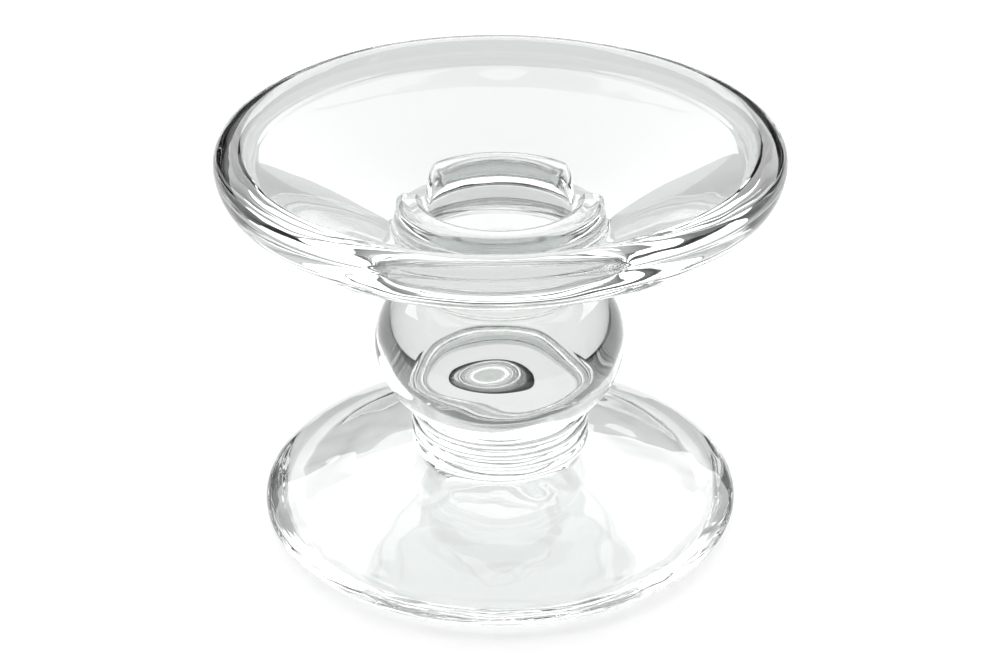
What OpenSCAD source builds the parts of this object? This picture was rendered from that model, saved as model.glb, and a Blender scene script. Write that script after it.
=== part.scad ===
// Clear glass candlestick: a wide drip dish with a low split candle collar, on a flattened ball,
// a neck of four rings and a domed foot. Every piece is a body of revolution about Z, but for the
// two gaps in the collar. The pieces sit face to face, one on top of another.
// The origin is the centre of the foot's underside.

/* [Overall] */
// Width of the drip dish over its rim
dish_d = 101.6; // [96:0.2:112]
// Height from the table to the crest of the rim
overall_h = 77; // [75:0.5:84]
// Width of the foot over its edge
foot_d = 90; // [88:0.5:110]

/* [Foot] */
// Thickness of the foot's rounded edge
foot_edge_t = 5; // [3:0.1:5.5]
// Height of the foot where the neck stands on it
foot_h = 14; // [12:0.1:14.4]
// Width of the hollow under the foot
foot_hollow_d = 75; // [50:0.5:76]
// Depth of the hollow under the foot
foot_hollow_h = 7.5; // [3:0.1:8]

/* [Neck] */
// Width of the neck over its rings
ring_d = 33.6; // [30:0.1:36]
// Height of one ring
ring_h = 2.2; // [2:0.1:2.5]

/* [Ball] */
// Width of the ball
ball_d = 46.6; // [42:0.1:52]
// Height of the whole ball before its two ends are flattened
ball_h = 34.5; // [33:0.1:36]

/* [Dish] */
// Height from the top of the ball to the seat of the candle collar
dish_seat_rise = 8.3; // [7:0.1:9]
// Thickness of the rim, seen from above
rim_t = 6.3; // [4:0.1:8]

/* [Candle collar] */
// Width of the space for the candle
candle_d = 28; // [27.5:0.1:29]
// Width of the collar where its wall meets the floor
collar_d = 39.4; // [39:0.1:39.8]
// Height of the collar's wall above its floor
collar_wall_h = 5.3; // [5:0.1:7]
// Thickness of the collar's floor
collar_floor_t = 1.5; // [1:0.1:2]
// Width of the back part of the wall, between the two gaps
back_wall_w = 26; // [20:0.5:26]
// How far behind the middle the front part of the wall ends
front_wall_end = 1; // [0:0.1:3]

/* [Hidden] */
$fn = 128;

glass = [0.87, 0.91, 0.90, 0.45];
arc_steps = 10;
neck_rings = 4;

// The rings are rounded discs, so their flat faces are narrower than they are
ring_flat_r = ring_d / 2 - ring_h / 2;

// Heights of the joints between the pieces, from the foot upwards
neck_top_z = foot_h + neck_rings * ring_h;
ball_cut = sqrt(1 - pow(2 * ring_flat_r / ball_d, 2)) * ball_h / 2;
ball_mid_z = neck_top_z + ball_cut;
ball_top_z = ball_mid_z + ball_cut;
dish_base_z = ball_top_z + ring_h;
seat_z = dish_base_z + dish_seat_rise;
floor_z = seat_z + collar_floor_t;

// The dish: a widest level, an upper and a lower curve that meet there, and a bowl inside
dish_r = dish_d / 2;
crest_h = 3.3;
widest_z = overall_h - crest_h;
crest_r = dish_r - rim_t * 2 / 3;
bowl_edge_r = dish_r - rim_t - 0.8;
bowl_edge_z = widest_z - 1.2;
lower_curve_r = 21.6;
lower_curve_h = 11.2;
lower_curve_end = -44;
seat_r = 20;

// The collar: a straight inner wall under a rounded crown, and an outer wall that leans in
candle_r = candle_d / 2;
crown_r = 2.4;
crown_mid_r = candle_r + crown_r;
crown_mid_z = floor_z + collar_wall_h - crown_r;
crown_end = 25;

// Points along part of an ellipse, from angle from_a to angle to_a
function ellipse_arc(mid_r, mid_z, half_w, half_h, from_a, to_a) =
    [for (i = [0 : arc_steps])
        let (a = from_a + (to_a - from_a) * i / arc_steps)
        [mid_r + half_w * cos(a), mid_z + half_h * sin(a)]];

// A domed disc with a thick rounded edge, hollow underneath, that stands on its outer ring
module foot() {
    edge_r = foot_edge_t / 2;
    hollow_r = foot_hollow_d / 2;
    hollow_curve_r = (hollow_r * hollow_r + foot_hollow_h * foot_hollow_h) / (2 * foot_hollow_h);
    edge_mid_r = foot_d / 2 - foot_edge_t;
    color(glass)
    rotate_extrude()
    difference() {
        polygon(concat(
            [[0, 0]],
            ellipse_arc(edge_mid_r, edge_r, foot_edge_t, edge_r, -90, 0),
            ellipse_arc(edge_mid_r, edge_r, foot_edge_t, edge_r, 9, 78),
            [[ring_flat_r + 1.6, foot_h - 1], [ring_flat_r + 0.4, foot_h], [0, foot_h]]
        ));
        translate([0, foot_hollow_h - hollow_curve_r])
        circle(r = hollow_curve_r, $fn = 256);
    }
}

// A disc of glass with a half-round edge, standing on the level base_z
module ring_wafer(base_z) {
    color(glass)
    translate([0, 0, base_z])
    rotate_extrude() {
        square([ring_flat_r, ring_h]);
        translate([ring_flat_r, ring_h / 2])
        intersection() {
            circle(d = ring_h, $fn = 48);
            translate([0, -ring_h / 2])
            square([ring_h, ring_h]);
        }
    }
}

module neck_ring(place) {
    ring_wafer(foot_h + place * ring_h);
}

module upper_wafer() {
    ring_wafer(ball_top_z);
}

// A solid flattened ball, cut flat where the neck and the upper wafer join it
module ball() {
    end_a = asin(2 * ball_cut / ball_h);
    color(glass)
    rotate_extrude()
    polygon(concat(
        [[0, neck_top_z]],
        ellipse_arc(0, ball_mid_z, ball_d / 2, ball_h / 2, -end_a, 0),
        ellipse_arc(0, ball_mid_z, ball_d / 2, ball_h / 2, end_a / arc_steps, end_a),
        [[0, ball_top_z]]
    ));
}

// A shallow bowl with a thick rolled rim and a flat seat for the collar in the middle
module drip_dish() {
    color(glass)
    rotate_extrude()
    polygon(concat(
        [[0, dish_base_z], [ring_flat_r, dish_base_z], [ring_flat_r + 2.6, dish_base_z + 1.8]],
        ellipse_arc(dish_r - lower_curve_r, widest_z, lower_curve_r, lower_curve_h, lower_curve_end, 0),
        ellipse_arc(crest_r, widest_z, dish_r - crest_r, crest_h, 9, 90),
        ellipse_arc(crest_r, widest_z, crest_r - dish_r + rim_t, crest_h, 99, 180),
        [[bowl_edge_r, bowl_edge_z], [seat_r, floor_z], [seat_r, seat_z], [0, seat_z]]
    ));
}

// A floor with a low round wall on it that holds the foot of the candle, open at two gaps
module candle_collar() {
    color(glass)
    difference() {
        rotate_extrude() {
            translate([0, seat_z])
            square([seat_r, collar_floor_t]);
            difference() {
                union() {
                    translate([crown_mid_r, crown_mid_z])
                    circle(r = crown_r, $fn = 64);
                    polygon([
                        [candle_r, floor_z],
                        [collar_d / 2, floor_z],
                        [crown_mid_r + crown_r * cos(crown_end), crown_mid_z + crown_r * sin(crown_end)],
                        [crown_mid_r, crown_mid_z],
                        [candle_r, crown_mid_z]
                    ]);
                }
                square([candle_r, overall_h]);
            }
        }
        for (side = [0, 1])
            mirror([side, 0, 0])
            translate([back_wall_w / 2, front_wall_end, floor_z])
            cube([collar_d, collar_d, 2 * collar_wall_h]);
    }
}

foot();
neck_ring(0);  // neck_ring_1
neck_ring(1);  // neck_ring_2
neck_ring(2);  // neck_ring_3
neck_ring(3);  // neck_ring_4
ball();
upper_wafer();
drip_dish();
candle_collar();
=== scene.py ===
"""Looks of the glass candlestick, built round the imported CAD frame.

Every piece is turned about Z, strays a little from true as hot-worked glass does, and replaces
the CAD node of the same place. The pieces are fused on their joint faces, so those faces let the
light straight through and only the outer skin bends it. Shape values are in millimetres and
angles in degrees; meshes are in metres.
"""

import math

import bmesh
import bpy
import mathutils
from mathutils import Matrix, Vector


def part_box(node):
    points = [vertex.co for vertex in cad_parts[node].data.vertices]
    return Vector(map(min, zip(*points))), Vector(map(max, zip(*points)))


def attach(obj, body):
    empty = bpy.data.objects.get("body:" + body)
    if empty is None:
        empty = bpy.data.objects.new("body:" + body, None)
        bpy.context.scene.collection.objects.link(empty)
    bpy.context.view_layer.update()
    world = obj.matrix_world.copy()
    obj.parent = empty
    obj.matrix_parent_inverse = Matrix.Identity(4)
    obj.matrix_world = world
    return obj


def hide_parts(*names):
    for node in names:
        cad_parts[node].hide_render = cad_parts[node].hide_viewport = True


MM = 0.001
SEGMENTS = 384
COLLAR_SEGMENTS = 768
ON_AXIS = 1e-6
# The two material places of every piece
GLASS = 0
WELD = 1

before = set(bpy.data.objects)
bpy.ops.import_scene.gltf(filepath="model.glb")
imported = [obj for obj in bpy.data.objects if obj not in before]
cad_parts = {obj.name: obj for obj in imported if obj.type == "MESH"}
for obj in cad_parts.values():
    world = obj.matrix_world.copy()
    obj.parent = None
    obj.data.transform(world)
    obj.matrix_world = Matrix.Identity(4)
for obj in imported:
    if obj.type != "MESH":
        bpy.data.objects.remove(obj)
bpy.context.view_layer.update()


# ---------------------------------------------------------------- sizes

def levels(node):
    """Radius, lowest and highest level of a CAD node."""
    low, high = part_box(node)
    return high[0] / MM, low[2] / MM, high[2] / MM


foot_r, foot_low, foot_high = levels("foot")
ring_r, ring_low, ring_high = levels("neck_ring_1")
ball_r, ball_low, ball_high = levels("ball")
dish_r, dish_low, dish_high = levels("drip_dish")
collar_r, collar_low, collar_high = levels("candle_collar")

# Radius of the grooves between the rings, which is also that of the joint faces
GROOVE_R = ring_r - 1.0
RING_FULLNESS = 0.6
# The foot: its hollow, the ring it stands on and its rounded edge
HOLLOW_R = 37.5
HOLLOW_H = 7.5
LIP_R = HOLLOW_R + 1.6
STAND_R = 39.6
EDGE_T = 5.0
EDGE_W = 3.9
EDGE_Z = 3.1
# The ball, before its ends are flattened
BALL_HALF_H = 17.25
# The dish: its rim and the curve under it
RIM_T = 6.3
CREST_H = 3.3
UNDER_W = 21.6
UNDER_H = 11.2
UNDER_END = -44
WALL_W = 0.9
WALL_H = 1.3
# The candle collar: its wall, its crown and where its two gaps start
FLOOR_T = 1.5
CANDLE_R = 14.0
CROWN_R = 2.4
CROWN_EDGE = 1.7
BACK_WALL_HALF = 13.6
FRONT_WALL_END = 1.2
WALL_END_SOFT = 1.5
WALL_END_NOSE = 1.6
floor_z = collar_low + FLOOR_T
widest_z = dish_high - CREST_H

# How the glass strays from a true circle: depth in mm, waves in a turn, and phase
OUT_WAVES = ((0.16, 2, 0.9), (0.09, 3, 2.2), (0.035, 7, 0))
UP_WAVES = ((0.14, 2, 2.6), (0.07, 4, 0.4), (0.03, 9, 1))
WAVE_FULL_R = 50.0
WAVE_FADE_Z = 8.0
# Lumps round the ball: depth in mm, lumps in a turn, how they twist with height, and phase
BALL_LUMPS = ((0.07, 3, 3.1, 0.6), (0.06, 5, -2.3, 1.9))
BALL_LUMP_REACH = 12.0
# Wrinkles in the middle of the foot's hollow: their depths, and the sizes of their swells
WRINKLE = 0.18
WRINKLE_X = 4.2
WRINKLE_Y = 3.4
SMALL_WRINKLE = 0.03
SMALL_WRINKLE_SIZE = 1.9
WRINKLE_R = 22
WRINKLE_FADE = 8

# Tint, size of the slow waves in metres and their depth in metres. The tint is painted shade:
# the copies of one glass are darkened by different amounts so each piece comes out as grey as it
# looks under this light, and only the faint green cast is the glass's own colour.
GLASS_TINT_SHADE_AND_WAVES = {
    "foot_glass": ((0.80, 0.82, 0.81), 0.012, 0.0005),
    "stem_glass": ((0.70, 0.72, 0.71), 0.012, 0.0001),
    "dish_glass": ((0.60, 0.62, 0.61), 0.015, 0.0002),
}
GLASS_IOR = 1.5
STREAK_FINENESS = 2.5
STREAK_TINT = 1.01
HAZE_START = 0.45
HAZE_FULL = 0.8
HAZE_ROUGHNESS = 0.03

# The studio: a share of full light by the sine of the height above the horizon
SKY = (
    (0.0, 0.01),
    (0.25, 0.02),
    (0.30, 0.22),
    (0.42, 0.30),
    (0.60, 0.40),
    (0.80, 0.55),
    (0.999, 0.60),
)
# The front of the room is darker than the back
FRONT_SHARE = 0.3
FRONT_FULL = -0.8
SOFTBOX_LIGHT = 3.2
SOFTBOX_SIZE = (3.6, 1.75)
SOFTBOX_FAR = 1.3
SOFTBOX_HEIGHT = 58.5
SOFTBOX_ROLL = 8.0
TABLE_GLOW = 0.68
TABLE_COLOUR = 0.26
TABLE_ROUGHNESS = 0.9
TABLE_SHINE = 0.2
TABLE_HALF = 2.5
TABLE_Z = -0.05
CAMERA_BACK = 355.6
CAMERA_UP = 237.2
CAMERA_PITCH = 29.46
CAMERA_LENS = 78.84
CAMERA_SENSOR = 36
GLASS_BOUNCES = 24
GLOSS_BOUNCES = 12
CLEAR_BOUNCES = 48


# ---------------------------------------------------------------- outlines

def arc(mid_r, mid_z, half_w, half_h, start, end, steps=16):
    """Points along part of an ellipse, with its angles in degrees."""
    turns = [math.radians(start + (end - start) * i / steps) for i in range(steps + 1)]
    return [(mid_r + half_w * math.cos(a), mid_z + half_h * math.sin(a)) for a in turns]


def line(start, end, steps=8):
    """Evenly spaced points from start to end."""
    shares = [i / steps for i in range(steps + 1)]
    return [tuple(a + (b - a) * s for a, b in zip(start, end)) for s in shares]


def curve(start, first_pull, second_pull, end, steps=16):
    """Points along a cubic curve that leaves start towards first_pull and comes in from second_pull."""
    corners = (start, first_pull, second_pull, end)
    points = []
    for i in range(steps + 1):
        t = i / steps
        weights = ((1 - t) ** 3, 3 * t * (1 - t) ** 2, 3 * t * t * (1 - t), t ** 3)
        points.append(tuple(sum(w * c[k] for w, c in zip(weights, corners)) for k in (0, 1)))
    return points


def joint(z):
    """The way out along a joint face, from the axis to the groove."""
    return [(0, z), (GROOVE_R, z)]


# ---------------------------------------------------------------- small faults of hot-worked glass

def waves(r, z, turn):
    """How far the glass strays from a true circle, outwards and upwards, in mm."""
    share = (r / WAVE_FULL_R) ** 2
    out = sum(depth * math.sin(count * turn + phase) for depth, count, phase in OUT_WAVES)
    up = sum(depth * math.sin(count * turn + phase) for depth, count, phase in UP_WAVES)
    return out * share, up * share * min(1.0, max(0.0, z / WAVE_FADE_Z))


def ball_lumps(r, z, turn):
    """The ball was spun by hand, so its side is slightly lumpy."""
    lump = 0
    for depth, count, twist, phase in BALL_LUMPS:
        lump += depth * math.sin(count * turn + z / twist + phase)
    from_middle = abs(z - (ball_low + ball_high) / 2)
    return r + lump * max(0.0, 1 - from_middle / BALL_LUMP_REACH), z


def hollow_wrinkles(r, z, turn):
    """The hollow under the foot was pressed with a cold tool, which leaves low wrinkles."""
    if r > HOLLOW_R - 2 or z < 0.01 or z > HOLLOW_H + 0.1:
        return r, z
    share = min(1.0, max(0.0, (WRINKLE_R - r) / WRINKLE_FADE))
    x, y = r * math.cos(turn), r * math.sin(turn)
    wrinkle = WRINKLE * math.sin(x / WRINKLE_X + 0.8) * math.cos(y / WRINKLE_Y + 0.5)
    wrinkle += SMALL_WRINKLE * math.sin((x + y) / SMALL_WRINKLE_SIZE)
    return r, z + share * wrinkle


def collar_gaps(r, z, turn):
    """Presses the collar's wall down to its floor at the two gaps, and rounds the wall's ends."""
    if z <= floor_z + 0.02 or r < CANDLE_R - 1:
        return r, z
    x, y = abs(r * math.cos(turn)), r * math.sin(turn)
    across = min(1.0, abs(r - CANDLE_R - CROWN_R) / (CROWN_R + 0.4))
    nose = WALL_END_NOSE * (1 - math.sqrt(1 - across * across))
    inside = max(FRONT_WALL_END - y, min(BACK_WALL_HALF - x, y)) - nose
    share = min(1.0, max(0.0, inside / WALL_END_SOFT))
    return r, floor_z + (z - floor_z) * math.sqrt(1 - (1 - share) ** 2)


# ---------------------------------------------------------------- meshes

def as_object(name, bm):
    """Turns a bmesh into an object of the scene."""
    mesh = bpy.data.meshes.new(name)
    bm.to_mesh(mesh)
    bm.free()
    thing = bpy.data.objects.new(name, mesh)
    bpy.context.scene.collection.objects.link(thing)
    return thing


def join_runs(runs):
    """One outline, and the finish of each step along it, from runs of (points, finish)."""
    outline = []
    finishes = []
    for points, finish in runs:
        start = 1 if outline else 0
        outline += points[start:]
        finishes += [finish] * (len(points) - 1)
    return outline, finishes


def add_row(bm, point, shape, segments):
    """The corners round Z at a point of the outline, or one corner where it is on the axis."""
    row = []
    count = segments if point[0] > ON_AXIS else 1
    for i in range(count):
        turn = 2 * math.pi * i / segments
        r, z = shape(*point, turn) if shape else point
        out, up = waves(r, z, turn)
        r, z = (r + out) * MM, (z + up) * MM
        row.append(bm.verts.new((r * math.cos(turn), r * math.sin(turn), z)))
    return row


def add_band(bm, below, above, finish, segments):
    """The faces between two rows of corners."""
    for i in range(segments):
        j = (i + 1) % segments
        corners = [below[i % len(below)], below[j % len(below)]]
        corners += [above[j % len(above)], above[i % len(above)]]
        face = bm.faces.new(list(dict.fromkeys(corners)))
        face.material_index = finish
        face.smooth = finish == GLASS


def lathe(name, runs, shape=None, segments=SEGMENTS):
    """Turns runs of outline points about Z into one closed mesh.

    runs is a list of (points, finish), from the axis out and back to it. shape, if given, moves a
    point (r, z) at an angle.
    """
    outline, finishes = join_runs(runs)
    bm = bmesh.new()
    rows = [add_row(bm, point, shape, segments) for point in outline]
    for below, above, finish in zip(rows, rows[1:], finishes):
        add_band(bm, below, above, finish, segments)
    bmesh.ops.recalc_face_normals(bm, faces=bm.faces)
    for edge in bm.edges:
        if len({face.material_index for face in edge.link_faces}) > 1:
            edge.smooth = False
    return as_object(name, bm)


# ---------------------------------------------------------------- materials

def add_noise(tree, place, scale, detail):
    """Noise in the object's own space."""
    noise = tree.nodes.new("ShaderNodeTexNoise")
    noise.inputs["Scale"].default_value = scale
    noise.inputs["Detail"].default_value = detail
    tree.links.new(place.outputs["Object"], noise.inputs["Vector"])
    return noise.outputs["Fac"]


def add_tint_and_painted_shade(tree, streak, tint_and_painted_shade):
    """The glass's faint green tint darkened with painted shade, a touch lighter along the streaks."""
    colour = tree.nodes.new("ShaderNodeMix")
    colour.data_type = "RGBA"
    colour.inputs["A"].default_value = (*tint_and_painted_shade, 1)
    colour.inputs["B"].default_value = (*[min(1.0, c * STREAK_TINT) for c in tint_and_painted_shade], 1)
    tree.links.new(streak, colour.inputs["Factor"])
    return colour.outputs["Result"]


def add_haze(tree, streak):
    """A little roughness along the streaks."""
    haze = tree.nodes.new("ShaderNodeMapRange")
    haze.inputs["From Min"].default_value = HAZE_START
    haze.inputs["From Max"].default_value = HAZE_FULL
    haze.inputs["To Min"].default_value = 0.0
    haze.inputs["To Max"].default_value = HAZE_ROUGHNESS
    tree.links.new(streak, haze.inputs["Value"])
    return haze.outputs["Result"]


def add_bump(tree, height, depth):
    """Slow waves in the surface."""
    bump = tree.nodes.new("ShaderNodeBump")
    bump.inputs["Strength"].default_value = 1.0
    bump.inputs["Distance"].default_value = depth
    tree.links.new(height, bump.inputs["Height"])
    return bump.outputs["Normal"]


def glass_material(name, tint_and_painted_shade, wave_size, wave_depth):
    """Clear glass whose tint is darkened with painted shade, with slow waves, and faint streaks in its
    tint and polish.
    """
    material = bpy.data.materials.new(name)
    material.use_nodes = True
    tree = material.node_tree
    shader = tree.nodes["Principled BSDF"]
    shader.inputs["Transmission Weight"].default_value = 1.0
    shader.inputs["IOR"].default_value = GLASS_IOR
    place = tree.nodes.new("ShaderNodeTexCoord")
    slow = add_noise(tree, place, 1 / wave_size, 1.0)
    streak = add_noise(tree, place, STREAK_FINENESS / wave_size, 3.0)
    # Painted shade: the base colour darkens the glass so the piece looks as grey as it does under this
    # light
    tree.links.new(add_tint_and_painted_shade(tree, streak, tint_and_painted_shade), shader.inputs["Base Color"])
    tree.links.new(add_haze(tree, streak), shader.inputs["Roughness"])
    tree.links.new(add_bump(tree, slow, wave_depth), shader.inputs["Normal"])
    return material


def weld_material():
    """A fused joint inside the glass: nothing to see, so light passes straight through."""
    material = bpy.data.materials.new("fused_joint")
    material.use_nodes = True
    material.node_tree.nodes["Principled BSDF"].inputs["Alpha"].default_value = 0.0
    return material


# ---------------------------------------------------------------- pieces

def foot_underside():
    """The hollow, its soft lip, the ring the foot stands on and the turned-up edge."""
    hollow_curve = (HOLLOW_R ** 2 + HOLLOW_H ** 2) / (2 * HOLLOW_H)
    steps = 24
    hollow = []
    for i in range(steps + 1):
        r = (HOLLOW_R - 1.5) * i / steps
        hollow.append((r, HOLLOW_H - hollow_curve + math.sqrt(hollow_curve ** 2 - r ** 2)))
    lip_start = hollow[-1]
    lip = curve(lip_start, (HOLLOW_R - 0.5, lip_start[1] - 0.42), (HOLLOW_R + 0.5, 0), (LIP_R, 0), 10)
    stand = line(lip[-1], (STAND_R, 0), 2)
    chamfer = curve((STAND_R, 0), (STAND_R + 0.6, 0), (foot_r - 2.9, 1.0), (foot_r - 1.4, 2.0), 12)
    return hollow + lip[1:] + stand[1:] + chamfer[1:]


def foot_topside(start):
    """The nose and brow of the edge, the dome, and the root of the neck."""
    nose = curve(start, (foot_r - 0.3, 2.3), (foot_r, 2.6), (foot_r, EDGE_Z), 8)
    brow_end = (foot_r - EDGE_W, EDGE_T + 0.6)
    brow = curve(nose[-1], (foot_r, EDGE_Z + 0.7), (foot_r - 1.2, EDGE_T - 0.3), brow_end, 14)
    shoulder = brow[-1]
    dome_pull = (shoulder[0] - 5, shoulder[1] + 1.9)
    root_start = (GROOVE_R + 1.2, foot_high - 0.7)
    root_end = (GROOVE_R, foot_high)
    dome = curve(shoulder, dome_pull, (GROOVE_R + 4, foot_high - 1.6), root_start, 24)
    root = curve(dome[-1], (GROOVE_R + 0.5, foot_high - 0.45), (GROOVE_R, foot_high - 0.3), root_end, 6)
    return nose[1:] + brow[1:] + dome[1:] + root[1:]


def make_foot():
    under = foot_underside()
    skin = under + foot_topside(under[-1])
    return lathe("foot_glass", [(skin, GLASS), (joint(foot_high)[::-1], WELD)], hollow_wrinkles)


def ring_outline(low, high):
    """The rounded side of a ring, from one groove to the next."""
    steps = 20
    points = []
    for i in range(steps + 1):
        share = i / steps
        swell = math.sin(math.pi * share) ** RING_FULLNESS
        points.append((GROOVE_R + (ring_r - GROOVE_R) * swell, low + (high - low) * share))
    return points


def make_ring(node):
    low, high = levels(node)[1:]
    runs = [(joint(low), WELD), (ring_outline(low, high), GLASS), (joint(high)[::-1], WELD)]
    return lathe(node + "_glass", runs)


def make_ball():
    mid_z = (ball_low + ball_high) / 2
    end = math.degrees(math.acos((GROOVE_R + 0.35) / ball_r))
    body = arc(0, mid_z, ball_r, BALL_HALF_H, -end, end, 72)
    first, last = body[0], body[-1]
    low_pull = (first[0] - 0.1, first[1] - 0.1)
    high_pull = (last[0] - 0.1, last[1] + 0.1)
    lower = curve((GROOVE_R, ball_low), (GROOVE_R, ball_low + 0.2), low_pull, first, 5)
    upper = curve(last, high_pull, (GROOVE_R, ball_high - 0.2), (GROOVE_R, ball_high), 5)
    skin = lower + body[1:] + upper[1:]
    runs = [(joint(ball_low), WELD), (skin, GLASS), (joint(ball_high)[::-1], WELD)]
    return lathe("ball_glass", runs, ball_lumps)


def dish_outside():
    """The stub on the upper wafer, the curve under the dish and the outer half of the rim."""
    crest_r = dish_r - RIM_T * 2 / 3
    under = arc(dish_r - UNDER_W, widest_z, UNDER_W, UNDER_H, UNDER_END, 0, 24)
    meet = under[0]
    meet_pull = (meet[0] - 18, meet[1] - 9.8)
    stub = curve((GROOVE_R, dish_low), (GROOVE_R, dish_low + 1.2), meet_pull, meet, 24)
    rim = arc(crest_r, widest_z, dish_r - crest_r, CREST_H, 0, 90, 16)
    return stub + under[1:] + rim[1:]


def dish_inside():
    """The inner half of the rim, the short wall under it and the bowl down to the collar."""
    crest_r = dish_r - RIM_T * 2 / 3
    rim = arc(crest_r, widest_z, crest_r - dish_r + RIM_T, CREST_H, 90, 180, 12)
    top_r, top_z = rim[-1]
    low_r, low_z = top_r - WALL_W, top_z - WALL_H
    wall = curve((top_r, top_z), (top_r, top_z - 0.7), (low_r + 0.08, low_z + 0.3), (low_r, low_z), 8)
    collar_pull = (collar_r + 5, floor_z + 1.6)
    bowl = curve((low_r, low_z), (low_r - 8, low_z - 3.6), collar_pull, (collar_r, floor_z), 30)
    return rim[1:] + wall[1:] + bowl[1:]


def collar_seat():
    """The joint between the dish and the collar's floor, from its edge to the axis."""
    return [(collar_r, floor_z), (collar_r, collar_low), (0, collar_low)]


def make_dish():
    skin = dish_outside() + dish_inside()
    runs = [(joint(dish_low), WELD), (skin, GLASS), (collar_seat(), WELD)]
    return lathe("drip_dish_glass", runs)


def make_collar():
    outer_r = CANDLE_R + 2 * CROWN_R
    edge_z = collar_high - CROWN_EDGE
    inner_edge = arc(CANDLE_R + CROWN_EDGE, edge_z, CROWN_EDGE, CROWN_EDGE, 180, 90, 12)
    outer_edge = arc(outer_r - CROWN_EDGE, edge_z, CROWN_EDGE, CROWN_EDGE, 90, 0, 12)
    floor = line((0, floor_z), (CANDLE_R - 0.4, floor_z), 12)
    corner = (CANDLE_R, floor_z + 0.4)
    bore = curve(floor[-1], (CANDLE_R - 0.1, floor_z), (CANDLE_R, floor_z + 0.1), corner, 5)
    wall = line(bore[-1], inner_edge[0], 6)
    crown = inner_edge + line(inner_edge[-1], outer_edge[0], 4)[1:] + outer_edge[1:]
    foot_pull = (outer_r + 0.3, floor_z + 0.6)
    outer = curve(crown[-1], (outer_r + 0.1, floor_z + 2.4), foot_pull, (collar_r, floor_z), 14)
    skin = floor + bore[1:] + wall[1:] + crown[1:] + outer[1:]
    runs = [(skin, GLASS), (collar_seat(), WELD)]
    return lathe("candle_collar_glass", runs, collar_gaps, COLLAR_SEGMENTS)


def make_pieces():
    """Every CAD node's visible piece and the name of its finish."""
    pieces = {
        "foot": (make_foot(), "foot_glass"),
        "ball": (make_ball(), "stem_glass"),
        "drip_dish": (make_dish(), "dish_glass"),
        "candle_collar": (make_collar(), "dish_glass"),
    }
    for node in ("neck_ring_1", "neck_ring_2", "neck_ring_3", "neck_ring_4", "upper_wafer"):
        pieces[node] = (make_ring(node), "stem_glass")
    return pieces


def fit_pieces():
    """Gives each piece its finishes and its place in the frame."""
    weld = weld_material()
    finishes = {slot: glass_material(slot, *finish) for slot, finish in GLASS_TINT_SHADE_AND_WAVES.items()}
    for node, (piece, slot) in make_pieces().items():
        piece.data.materials.append(finishes[slot])
        piece.data.materials.append(weld)
        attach(piece, "root")
        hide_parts(node)


# ---------------------------------------------------------------- floor, light and camera

def make_floor():
    """A plain table, lit softly from within as well as from above."""
    bm = bmesh.new()
    bmesh.ops.create_grid(bm, x_segments=8, y_segments=8, size=TABLE_HALF)
    floor = as_object("floor", bm)
    floor.location.z = TABLE_Z * MM
    material = bpy.data.materials.new("pale_floor")
    material.use_nodes = True
    shader = material.node_tree.nodes["Principled BSDF"]
    shader.inputs["Base Color"].default_value = (TABLE_COLOUR, TABLE_COLOUR, TABLE_COLOUR, 1)
    shader.inputs["Roughness"].default_value = TABLE_ROUGHNESS
    shader.inputs["Specular IOR Level"].default_value = TABLE_SHINE
    shader.inputs["Emission Color"].default_value = (1, 1, 1, 1)
    shader.inputs["Emission Strength"].default_value = TABLE_GLOW
    floor.data.materials.append(material)


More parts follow.
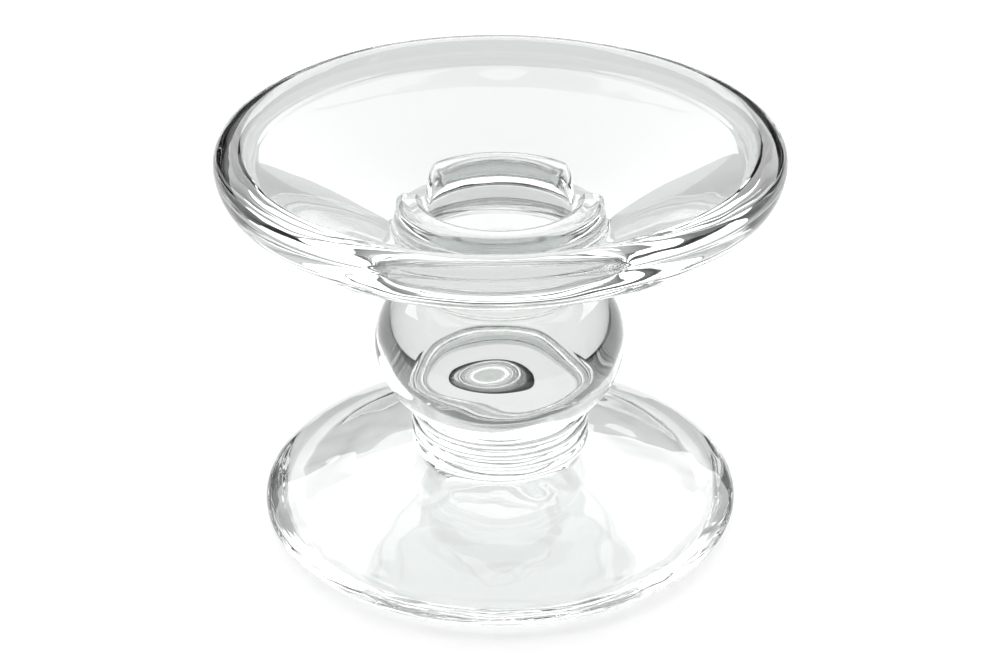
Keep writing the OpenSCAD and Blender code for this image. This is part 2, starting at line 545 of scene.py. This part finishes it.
def make_world():
    """A soft room, dark near the horizon, and darker in front than behind."""
    world = bpy.data.worlds.new("studio")
    bpy.context.scene.world = world
    world.use_nodes = True
    nodes, links = world.node_tree.nodes, world.node_tree.links
    background = nodes["Background"]
    place = nodes.new("ShaderNodeTexCoord")
    direction = nodes.new("ShaderNodeSeparateXYZ")
    links.new(place.outputs["Generated"], direction.inputs["Vector"])

    ramp = nodes.new("ShaderNodeValToRGB")
    stops = ramp.color_ramp.elements
    for sine, share in SKY:
        stop = stops.new(sine)
        stop.color = (share, share, share, 1)
    stops.remove(stops[0])
    stops.remove(stops[len(stops) - 1])
    links.new(direction.outputs["Z"], ramp.inputs["Fac"])
    links.new(ramp.outputs["Color"], background.inputs["Color"])

    front = nodes.new("ShaderNodeMapRange")
    front.interpolation_type = "SMOOTHSTEP"
    front.inputs["From Min"].default_value = FRONT_FULL
    front.inputs["From Max"].default_value = 0.0
    front.inputs["To Min"].default_value = FRONT_SHARE
    front.inputs["To Max"].default_value = 1.0
    links.new(direction.outputs["Y"], front.inputs["Value"])
    links.new(front.outputs["Result"], background.inputs["Strength"])


def make_softbox():
    """One large softbox behind and above the candlestick."""
    data = bpy.data.lights.new("softbox", "AREA")
    data.shape = "RECTANGLE"
    data.size, data.size_y = SOFTBOX_SIZE
    data.energy = SOFTBOX_LIGHT * math.pi * data.size * data.size_y
    softbox = bpy.data.objects.new("softbox", data)
    lift = math.radians(SOFTBOX_HEIGHT)
    softbox.location = (0, SOFTBOX_FAR * math.cos(lift), SOFTBOX_FAR * math.sin(lift))
    tip = mathutils.Matrix.Rotation(lift - math.pi / 2, 4, "X")
    roll = mathutils.Matrix.Rotation(math.radians(SOFTBOX_ROLL), 4, "Z")
    softbox.rotation_euler = (tip @ roll).to_euler()
    bpy.context.scene.collection.objects.link(softbox)


def make_camera():
    data = bpy.data.cameras.new("camera")
    data.sensor_width = CAMERA_SENSOR
    data.lens = CAMERA_LENS
    camera = bpy.data.objects.new("camera", data)
    camera.location = (0, -CAMERA_BACK * MM, CAMERA_UP * MM)
    camera.rotation_euler = (math.radians(90 - CAMERA_PITCH), 0, 0)
    bpy.context.scene.collection.objects.link(camera)
    bpy.context.scene.camera = camera


def set_light_paths():
    """Lets light through many layers of glass, with no softening of sharp paths."""
    scene = bpy.context.scene
    scene.view_settings.view_transform = "Standard"
    scene.cycles.max_bounces = GLASS_BOUNCES
    scene.cycles.blur_glossy = 0.0
    scene.cycles.transmission_bounces = GLASS_BOUNCES
    scene.cycles.glossy_bounces = GLOSS_BOUNCES
    scene.cycles.transparent_max_bounces = CLEAR_BOUNCES


fit_pieces()
make_floor()
make_world()
make_softbox()
make_camera()
set_light_paths()
